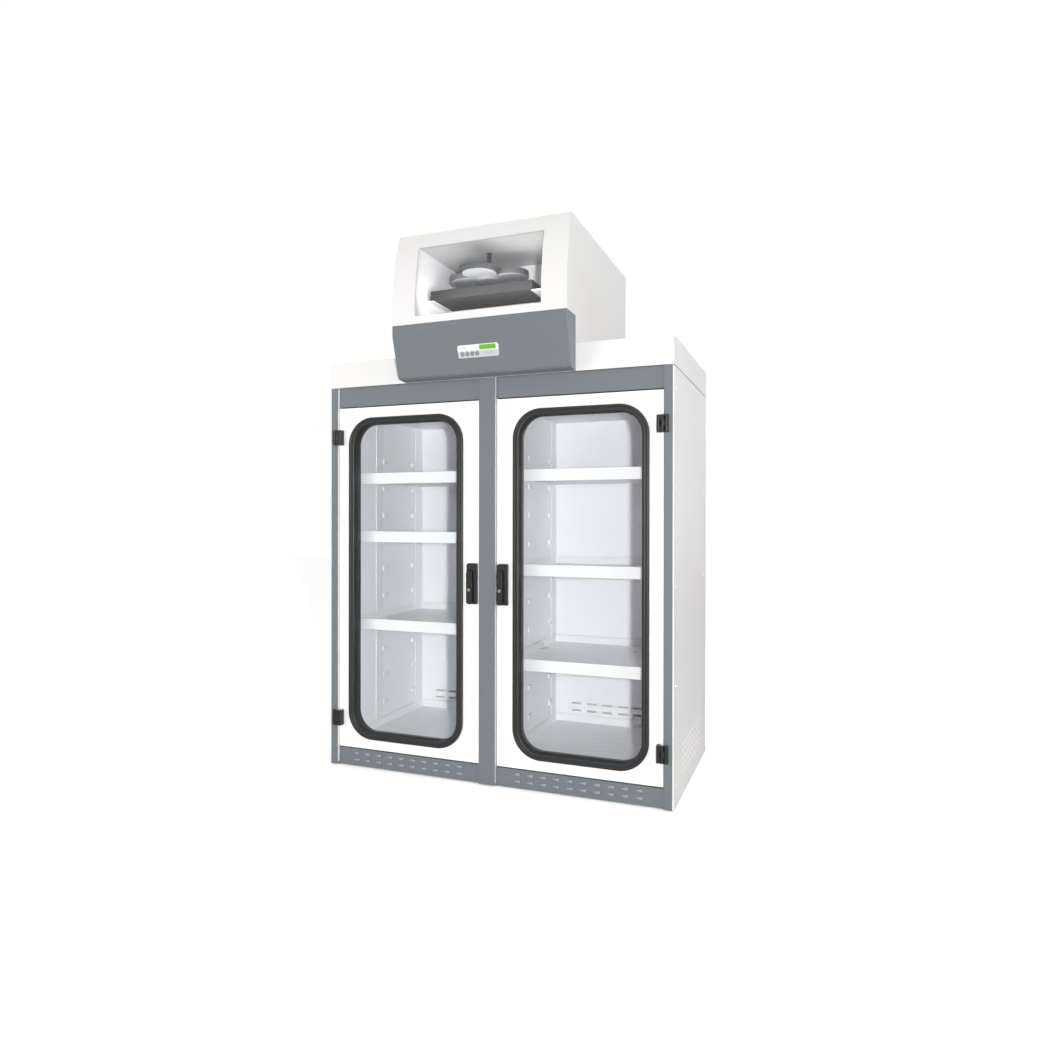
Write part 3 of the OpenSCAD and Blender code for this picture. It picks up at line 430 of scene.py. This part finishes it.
def clear_pane(name, tint, mirror, haze):
    """Pane: light passes with the tint, and a mirror is laid over it by its share,
    0.022 + 0.978 (1 - cos a)^5; slow noise varies how polished the mirror is."""
    material = bpy.data.materials.new(name)
    material.use_nodes = True
    tree = material.node_tree
    tree.nodes.remove(tree.nodes["Principled BSDF"])
    through = tree.nodes.new("ShaderNodeBsdfTransparent")
    through.inputs["Color"].default_value = (*tint, 1)
    shine = tree.nodes.new("ShaderNodeBsdfGlossy")
    shine.inputs["Color"].default_value = (*mirror, 1)
    facing = tree.nodes.new("ShaderNodeLayerWeight")
    facing.inputs["Blend"].default_value = 0.5
    grazing = tree.nodes.new("ShaderNodeMath")
    grazing.operation = "POWER"
    grazing.inputs[1].default_value = 5
    share = tree.nodes.new("ShaderNodeMath")
    share.operation = "MULTIPLY_ADD"
    share.inputs[1].default_value = 0.978
    share.inputs[2].default_value = 0.022
    place = tree.nodes.new("ShaderNodeTexCoord")
    wipe = tree.nodes.new("ShaderNodeTexNoise")
    wipe.inputs["Scale"].default_value = 6
    polish = tree.nodes.new("ShaderNodeMapRange")
    polish.inputs["To Min"].default_value = 0.01
    polish.inputs["To Max"].default_value = haze
    blend = tree.nodes.new("ShaderNodeMixShader")
    tree.links.new(place.outputs["Object"], wipe.inputs["Vector"])
    tree.links.new(wipe.outputs["Fac"], polish.inputs["Value"])
    tree.links.new(polish.outputs["Result"], shine.inputs["Roughness"])
    tree.links.new(facing.outputs["Facing"], grazing.inputs[0])
    tree.links.new(grazing.outputs[0], share.inputs[0])
    tree.links.new(share.outputs[0], blend.inputs["Fac"])
    tree.links.new(through.outputs[0], blend.inputs[1])
    tree.links.new(shine.outputs[0], blend.inputs[2])
    tree.links.new(blend.outputs[0], tree.nodes["Material Output"].inputs["Surface"])
    return material


window_glass = clear_pane("window_glass", (0.985, 0.99, 0.992), (0.8, 0.82, 0.85), 0.06)
for name in ("left_window_pane", "right_window_pane"):
    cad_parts[name].material_slots[0].material = window_glass
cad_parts["inspection_pane"].material_slots[0].material = clear_pane(
    "clear_sheet", (0.985, 0.985, 0.985), (0.5, 0.5, 0.5), 0.1)

# ---------------------------------------------------------------- hinges
# Black moulded surface hinges: a frame leaf and a door leaf with rounded fronts,
# over a steel pin. The same nylon makes the handle housings and the mains inlet.
black_nylon = moulded_black("black_nylon", (0.0105, 0.0105, 0.011), 0.34, 0.0011, 1100,
                            0.00015)
for name in ("hinge_frame_leaves", "left_hinge_leaves", "right_hinge_leaves",
             "left_handle_housing", "right_handle_housing", "power_inlet"):
    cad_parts[name].material_slots[0].material = black_nylon

# ---------------------------------------------------------------- handle levers
# A black nylon lever with a round head over its spindle and a rolled edge all
# round; its head is relieved behind, so that it clears the housing when lifted.


def lever_shell(pivot_x, pivot_z, face_y):
    """Closed shell. The outline is a half circle over the head and two small arcs at
    the tail; each ring draws it towards the centre line by a factor, at a height
    that follows the flat back, the side, the rolled edge and the crowned front."""
    half, tail, tail_r = 12.0, -119.0, 9.0
    top = np.radians(np.linspace(0, 180, 25))
    low = np.radians(np.linspace(180, 270, 10))
    x = np.concatenate([half * np.cos(top), -3 + tail_r * np.cos(low),
                        3 + tail_r * np.cos(low + math.pi / 2)])
    z = np.concatenate([half * np.sin(top), tail + tail_r + tail_r * np.sin(low),
                        tail + tail_r + tail_r * np.sin(low + math.pi / 2)])
    spine = np.clip(z, tail + half, 0)
    drawn = np.array([0, .5, .93, 1.0, 1.0, .985, .94, .86, .74, .5, .25, 0])[:, None]
    out = np.array([12.0, 12.0, 12.0, 12.7, 17.6, 19.2, 20.3, 20.8, 20.9, 20.75, 20.6,
                    20.6])[:, None]
    ring_x = drawn * x
    ring_z = spine + drawn * (z - spine)
    relief = 16.5 + (ring_z * 0.5 - 4.3) / math.cos(math.radians(30))
    ring_out = np.minimum(np.maximum(out + 0 * ring_x, relief), 20.9)
    return np.stack([pivot_x + ring_x * mm, face_y - ring_out * mm,
                     pivot_z + ring_z * mm], -1)[None]


lever_nylon = moulded_black("lever_nylon", (0.0115, 0.0115, 0.012), 0.24, 0.0006, 1100,
                            0.00015)
door_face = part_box("left_door_panel")[0].y
pivot_z = 803 * mm
for side, pivot_x in (("left", -70.5 * mm), ("right", 55.5 * mm)):
    lever = patch_mesh(side + "_swing_lever", lever_shell(pivot_x, pivot_z, door_face))
    lever.data.materials.append(lever_nylon)
    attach(lever, side + "_lever")
    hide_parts(side + "_handle_lever")

# ---------------------------------------------------------------- lock plugs
# Turned brass plugs with a key slot, in the levers.
brass = bpy.data.materials.new("turned_brass")
brass.use_nodes = True
tree = brass.node_tree
shader = tree.nodes["Principled BSDF"]
shader.inputs["Metallic"].default_value = 1.0
place = tree.nodes.new("ShaderNodeTexCoord")
tarnish = tree.nodes.new("ShaderNodeTexNoise")
tarnish.inputs["Scale"].default_value = 600
tone = tree.nodes.new("ShaderNodeMix")
tone.data_type = "RGBA"
tone.inputs["A"].default_value = (0.58, 0.47, 0.27, 1)
tone.inputs["B"].default_value = (0.44, 0.35, 0.19, 1)
gloss = tree.nodes.new("ShaderNodeMapRange")
gloss.inputs["To Min"].default_value = 0.22
gloss.inputs["To Max"].default_value = 0.42
tree.links.new(place.outputs["Object"], tarnish.inputs["Vector"])
tree.links.new(tarnish.outputs["Fac"], tone.inputs["Factor"])
tree.links.new(tarnish.outputs["Fac"], gloss.inputs["Value"])
tree.links.new(tone.outputs["Result"], shader.inputs["Base Color"])
tree.links.new(gloss.outputs["Result"], shader.inputs["Roughness"])
for name in ("left_lock_plug", "right_lock_plug"):
    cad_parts[name].material_slots[0].material = brass

# ---------------------------------------------------------------- panel screws
# Low dome screws with a hexagon socket: twenty hold the side panels, four small
# ones the centre post's cover. Steel, in the paint of the sheet they hold.


def dome_screw(radius, height, socket, shank, length):
    """Closed turned shape as [across, out, up]: a socket floor, a six-sided socket
    wall, a dome that falls with a power of the radius, a rim and a shank."""
    around = np.linspace(0, 2 * math.pi, 36, endpoint=False)
    wedge = np.mod(around, math.pi / 3) - math.pi / 6
    hexagon = socket * math.cos(math.pi / 6) / np.cos(wedge)
    fall = 2.4
    floor_out = height * 0.45
    dome = np.array([0.45, 0.6, 0.75, 0.88, 0.96, 1.0])[:, None] * radius
    rim = np.maximum(height * (1 - (dome / radius) ** fall), 0)
    reach = np.concatenate([0 * hexagon[None], hexagon[None], hexagon[None],
                            hexagon[None] * 1.1, dome + 0 * hexagon[None],
                            shank + 0 * hexagon[None], shank + 0 * hexagon[None],
                            0 * hexagon[None]])
    lip = height * (1 - (hexagon[None] * 1.1 / radius) ** fall)
    out = np.concatenate([floor_out + 0 * lip, floor_out + 0 * lip, lip - 0.05 * mm, lip,
                          rim + 0 * lip, 0 * lip, -length + 0 * lip, -length + 0 * lip])
    return np.stack([reach * np.cos(around), out, reach * np.sin(around)], -1)


head = dome_screw(6.4 * mm, 2.2 * mm, 2.3 * mm, 2.5 * mm, 3.6 * mm)
side_heads = np.stack([
    np.stack([side * (705.05 * mm + head[..., 1]), y * mm + head[..., 0],
              z * mm + head[..., 2]], -1)
    for side in (-1, 1) for y in (-290, 360) for z in (80, 426, 772, 1118, 1464)])
side_screws = patch_mesh("side_panel_screws", side_heads)
side_screws.data.materials.append(powder_coat("screw_paint", (0.94, 0.94, 0.93), 0.28))
head = dome_screw(3.9 * mm, 1.35 * mm, 1.4 * mm, 2.0 * mm, 1.8 * mm)
post_heads = np.stack([
    np.stack([2 * mm + head[..., 0], post_face - 0.05 * mm - head[..., 1],
              z * mm + head[..., 2]], -1)
    for z in (221, 521, 769, 1309)])
post_screws = patch_mesh("centre_post_screws", post_heads)
post_screws.data.materials.append(grey_coat)
for piece in (side_screws, post_screws):
    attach(piece, "cabinet")
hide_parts("panel_screws")

# ---------------------------------------------------------------- blower deck
# The steel deck that closes the blower chamber above, in a flat mid grey.
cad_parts["blower_deck"].material_slots[0].material = powder_coat(
    "deck_coat", (0.60, 0.60, 0.602), 0.55, (1.0, 1.0, 1.0), 480.0)

# ---------------------------------------------------------------- carbon filter
# A case of moulded black plastic packed with granular carbon; the granules show
# behind a fine retaining net on the top and the underside.
carbon = bpy.data.materials.new("carbon_filter_case")
carbon.use_nodes = True
tree = carbon.node_tree
shader = tree.nodes["Principled BSDF"]
place = tree.nodes.new("ShaderNodeTexCoord")
granules = tree.nodes.new("ShaderNodeTexVoronoi")
granules.inputs["Scale"].default_value = 260
facing = tree.nodes.new("ShaderNodeNewGeometry")
axes = tree.nodes.new("ShaderNodeSeparateXYZ")
upright = tree.nodes.new("ShaderNodeMath")
upright.operation = "ABSOLUTE"
tone = tree.nodes.new("ShaderNodeMix")
tone.data_type = "RGBA"
tone.inputs["A"].default_value = (0.029, 0.029, 0.029, 1)
# Each granule is painted lighter in its middle and darker towards its border: painted
# light and painted shade in the gaps between granules.
granule_painted_shade = tree.nodes.new("ShaderNodeMix")
granule_painted_shade.data_type = "RGBA"
granule_painted_shade.inputs["A"].default_value = (0.187, 0.187, 0.190, 1)
granule_painted_shade.inputs["B"].default_value = (0.066, 0.066, 0.067, 1)
spread = tree.nodes.new("ShaderNodeMath")
spread.operation = "MULTIPLY"
spread.inputs[1].default_value = 1.3
bump = tree.nodes.new("ShaderNodeBump")
bump.inputs["Strength"].default_value = 0.5
bump.inputs["Distance"].default_value = 0.0012
shader.inputs["Roughness"].default_value = 0.62
tree.links.new(place.outputs["Object"], granules.inputs["Vector"])
tree.links.new(facing.outputs["Normal"], axes.inputs["Vector"])
tree.links.new(axes.outputs["Z"], upright.inputs[0])
tree.links.new(granules.outputs["Distance"], spread.inputs[0])
tree.links.new(spread.outputs[0], granule_painted_shade.inputs["Factor"])
tree.links.new(granule_painted_shade.outputs["Result"], tone.inputs["B"])
tree.links.new(upright.outputs[0], tone.inputs["Factor"])
tree.links.new(granules.outputs["Distance"], bump.inputs["Height"])
tree.links.new(tone.outputs["Result"], shader.inputs["Base Color"])
tree.links.new(bump.outputs["Normal"], shader.inputs["Normal"])
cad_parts["carbon_filter"].material_slots[0].material = carbon

# ---------------------------------------------------------------- impeller
# Four broad moulded lobes with rolled edges on a round boss, dark grey with the bottom
# few millimetres painted light grey as painted light on the undersides, and the
# steel-cored shaft that runs up through the deck into the motor.


def lobed_shell(axis_x, axis_y, low_z, shaft_top):
    """Closed shell about a vertical axis. The rim is the far side of four equal
    circles, so its radius is c cos(a) + sqrt(r^2 - c^2 sin(a)^2) with a counted from
    the nearest lobe; rings step from the shaft over the boss out to that rim."""
    thick, lobe_r, centre_r, boss_r = 26.0, 65.6, 94.4, 50
    around = np.radians(np.arange(0, 360, 2.0))
    nearest = np.mod(around + math.pi / 4, math.pi / 2) - math.pi / 4
    under = np.maximum(lobe_r ** 2 - (centre_r * np.sin(nearest)) ** 2, 16.0)
    rim = centre_r * np.cos(nearest) + np.sqrt(under)
    # Rings down the shaft and over the boss, then shares of the way to the rim
    inner = np.array([0, 7.6, 8.0, 8.0, 9.0, 44.0, 47.0, 48.0, 49.0])
    share = np.array([.35, .7, .93, .97, .99, .998, 1.0])
    top_r = np.concatenate([inner[:, None] + 0 * rim[None],
                            boss_r + share[:, None] * (rim[None] - boss_r)])
    top_z = np.concatenate([[shaft_top, shaft_top, shaft_top - .5, 29.0, 29.0, 29.0, 28.4,
                             27.0, 26.0], [thick, thick, thick, 25.7, 25.0, 23.8, 22.0]])
    low_inner = np.array([49.0, 48.0, 47.0, 44.0, 0])
    low_r = np.concatenate([boss_r + share[::-1][:, None] * (rim[None] - boss_r),
                            low_inner[:, None] + 0 * rim[None]])
    low_level = np.array([4.0, 2.2, 1.0, .3, 0, 0, 0, 0, -1.0, -2.4, -3.0, -3.0])
    radius = np.concatenate([top_r, low_r])
    level = np.concatenate([top_z, low_level])[:, None] + 0 * rim[None]
    return np.stack([axis_x + radius * np.cos(around) * mm,
                     axis_y + radius * np.sin(around) * mm, low_z + level * mm], -1)[None]


blower_low, blower_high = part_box("impeller")
boss_drop = 3
impeller = patch_mesh("blower_impeller", lobed_shell(
    -28 * mm, -245 * mm, blower_low.z + boss_drop * mm,
    (blower_high.z - blower_low.z) / mm - boss_drop))
moulding = bpy.data.materials.new("impeller_moulding")
moulding.use_nodes = True
tree = moulding.node_tree
shader = tree.nodes["Principled BSDF"]
shader.inputs["Roughness"].default_value = 0.46
place = tree.nodes.new("ShaderNodeTexCoord")
mottle = tree.nodes.new("ShaderNodeTexNoise")
mottle.inputs["Scale"].default_value = 18
tone = tree.nodes.new("ShaderNodeMix")
tone.data_type = "RGBA"
tone.inputs["A"].default_value = (0.12, 0.123, 0.126, 1)
tone.inputs["B"].default_value = (0.09, 0.093, 0.096, 1)
height = tree.nodes.new("ShaderNodeSeparateXYZ")
# The bottom 4.5 mm is painted light grey: painted light on the undersides.
painted_light_underside_mask = tree.nodes.new("ShaderNodeMath")
painted_light_underside_mask.operation = "LESS_THAN"
painted_light_underside_mask.inputs[1].default_value = blower_low.z + 4.5 * mm
painted_light_underside_tone = tree.nodes.new("ShaderNodeMix")
painted_light_underside_tone.data_type = "RGBA"
painted_light_underside_tone.inputs["B"].default_value = (0.33, 0.335, 0.345, 1)
fine = tree.nodes.new("ShaderNodeTexNoise")
fine.inputs["Scale"].default_value = 900
bump = tree.nodes.new("ShaderNodeBump")
bump.inputs["Strength"].default_value = 0.15
bump.inputs["Distance"].default_value = 0.0003
tree.links.new(place.outputs["Object"], mottle.inputs["Vector"])
tree.links.new(place.outputs["Object"], fine.inputs["Vector"])
tree.links.new(mottle.outputs["Fac"], tone.inputs["Factor"])
tree.links.new(fine.outputs["Fac"], bump.inputs["Height"])
tree.links.new(place.outputs["Object"], height.inputs["Vector"])
tree.links.new(height.outputs["Z"], painted_light_underside_mask.inputs[0])
tree.links.new(painted_light_underside_mask.outputs[0], painted_light_underside_tone.inputs["Factor"])
tree.links.new(tone.outputs["Result"], painted_light_underside_tone.inputs["A"])
tree.links.new(painted_light_underside_tone.outputs["Result"], shader.inputs["Base Color"])
tree.links.new(bump.outputs["Normal"], shader.inputs["Normal"])
impeller.data.materials.append(moulding)
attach(impeller, "blower")
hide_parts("impeller")

# ---------------------------------------------------------------- blower motor
# Outer-rotor motor in a die-cast housing with a sprayed dark finish.
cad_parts["blower_motor"].material_slots[0].material = moulded_black(
    "cast_motor_paint", (0.12, 0.12, 0.125), 0.5, 0.0015, 420, 0.0005)

# ---------------------------------------------------------------- control overlay
# A printed film on the fascia's slant: white above, light grey below, with plain
# strokes and a dark ring round each button.
slant = math.atan(43 / 143)
slant_up = np.array((0, -math.sin(slant), math.cos(slant)))
slant_out = np.array((0, -math.cos(slant), -math.sin(slant)))
slant_origin = np.array((0, post_face - 81.147 * mm, 1629 * mm))
film = bpy.data.materials.new("printed_film")
film.use_nodes = True
tree = film.node_tree
shader = tree.nodes["Principled BSDF"]
shader.inputs["Roughness"].default_value = 0.32
place = tree.nodes.new("ShaderNodeTexCoord")
up_slope = tree.nodes.new("ShaderNodeVectorMath")
up_slope.operation = "DOT_PRODUCT"
up_slope.inputs[1].default_value = tuple(slant_up)
edge = tree.nodes.new("ShaderNodeMapRange")
middle = float(slant_origin @ slant_up)
edge.inputs["From Min"].default_value = middle + 0.4 * mm
edge.inputs["From Max"].default_value = middle + 1.2 * mm
tone = tree.nodes.new("ShaderNodeMix")
tone.data_type = "RGBA"
tone.inputs["A"].default_value = (0.52, 0.535, 0.55, 1)
tone.inputs["B"].default_value = (0.8, 0.805, 0.81, 1)
emboss = tree.nodes.new("ShaderNodeTexNoise")
emboss.inputs["Scale"].default_value = 1600
bump = tree.nodes.new("ShaderNodeBump")
bump.inputs["Strength"].default_value = 0.1
bump.inputs["Distance"].default_value = 0.0001
tree.links.new(place.outputs["Object"], up_slope.inputs[0])
tree.links.new(place.outputs["Object"], emboss.inputs["Vector"])
tree.links.new(up_slope.outputs["Value"], edge.inputs["Value"])
tree.links.new(edge.outputs["Result"], tone.inputs["Factor"])
tree.links.new(emboss.outputs["Fac"], bump.inputs["Height"])
tree.links.new(tone.outputs["Result"], shader.inputs["Base Color"])
tree.links.new(bump.outputs["Normal"], shader.inputs["Normal"])
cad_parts["control_overlay"].material_slots[0].material = film


def print_stroke(x0, x1, v0, v1):
    """One printed stroke: a pillow on the film, flat on top, closed underneath, whose
    edges fall by a hair; across and up-slope come from a squared circle."""
    around = np.linspace(0, 2 * math.pi, 16, endpoint=False)
    cosine, sine = np.cos(around), np.sin(around)
    box = np.maximum(np.abs(cosine), np.abs(sine))
    drawn = np.array([0, .9, 1.0, 1.0, 0])[:, None]
    level = np.array([.05, .05, .04, -.02, -.02])[:, None] + 0 * around
    across = (x0 + x1) / 2 + drawn * (x1 - x0) / 2 * cosine / box
    upward = (v0 + v1) / 2 + drawn * (v1 - v0) / 2 * sine / box
    return across, upward, level


def on_film(across, upward, level):
    """Point on the fascia's slant from millimetres across, up the slope and above
    the film's face."""
    film_thick = 0.95
    return (slant_origin + across[..., None] * mm * np.array((1, 0, 0))
            + upward[..., None] * mm * slant_up
            + (level[..., None] + film_thick) * mm * slant_out)


button_x = -64.4 + 20 * np.arange(4)
button_v = -9.5
half_line = 0.35
# Each stroke as (middle across, width, middle up the slope)
stroke_table = (
    [(x, 9.0, 1.9) for x in button_x] + [(x, 5.5, 3.6) for x in button_x]
    + [(-58.0, 34.0, 12.0), (-62.0, 26.0, 14.0), (-66.0, 18.0, 16.0),
       (-8.0, 12.0, 12.0), (-8.0, 9.0, 9.8), (38.8, 30.0, -4.0),
       (38.8, 44.0, -8.5), (38.8, 38.0, -10.6), (38.8, 24.0, -12.7)])
film_strokes = patch_mesh("film_strokes", np.stack([
    on_film(*print_stroke(x - w / 2, x + w / 2, v - half_line, v + half_line))
    for x, w, v in stroke_table]))
# Ring profile round each button: its reach and its height above the film
ring_angle = np.linspace(0, 2 * math.pi, 40, endpoint=False)
ring_reach = np.array([7.4, 7.5, 8.6, 8.7, 8.7, 7.4])[:, None]
ring_level = np.array([-.02, .08, .08, -.02, -.02, -.02])[:, None] + 0 * ring_angle
ring_points = np.stack([
    on_film(x + ring_reach * np.cos(ring_angle),
            button_v + ring_reach * np.sin(ring_angle), ring_level) for x in button_x])
film_rings = patch_mesh("film_button_rings", ring_points)
ink = moulded_black("printing_ink", (0.17, 0.18, 0.19), 0.45, 0.0001, 900, 0.00005)
for piece in (film_strokes, film_rings):
    piece.data.materials.append(ink)
    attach(piece, "cabinet")

# ---------------------------------------------------------------- display
# Back-lit panel behind the film's window: bright green, with the fine grid of its
# cells and a slow drift in tone.
lit = bpy.data.materials.new("green_display")
lit.use_nodes = True
tree = lit.node_tree
shader = tree.nodes["Principled BSDF"]
shader.inputs["Roughness"].default_value = 0.25
shader.inputs["Emission Strength"].default_value = 0.12
place = tree.nodes.new("ShaderNodeTexCoord")
cells = tree.nodes.new("ShaderNodeTexWave")
cells.bands_direction = "X"
cells.inputs["Scale"].default_value = 190
glow_drift = tree.nodes.new("ShaderNodeTexNoise")
glow_drift.inputs["Scale"].default_value = 30
cell_share = tree.nodes.new("ShaderNodeMath")
cell_share.operation = "MULTIPLY_ADD"
cell_share.inputs[1].default_value = 0.25
tone = tree.nodes.new("ShaderNodeMix")
tone.data_type = "RGBA"
tone.inputs["A"].default_value = (0.17, 0.50, 0.018, 1)
tone.inputs["B"].default_value = (0.11, 0.36, 0.012, 1)
tree.links.new(place.outputs["Object"], cells.inputs["Vector"])
tree.links.new(place.outputs["Object"], glow_drift.inputs["Vector"])
tree.links.new(cells.outputs["Fac"], cell_share.inputs[0])
tree.links.new(glow_drift.outputs["Fac"], cell_share.inputs[2])
tree.links.new(cell_share.outputs[0], tone.inputs["Factor"])
tree.links.new(tone.outputs["Result"], shader.inputs["Base Color"])
tree.links.new(tone.outputs["Result"], shader.inputs["Emission Color"])
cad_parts["display"].material_slots[0].material = lit

# ---------------------------------------------------------------- push buttons
# Four moulded caps in a mid grey with a finely textured top.
cap_plastic = moulded_black("button_caps", (0.20, 0.21, 0.22), 0.4, 0.0012, 1500,
                            0.00015)
for number in range(1, 5):
    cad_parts["button_%d" % number].material_slots[0].material = cap_plastic
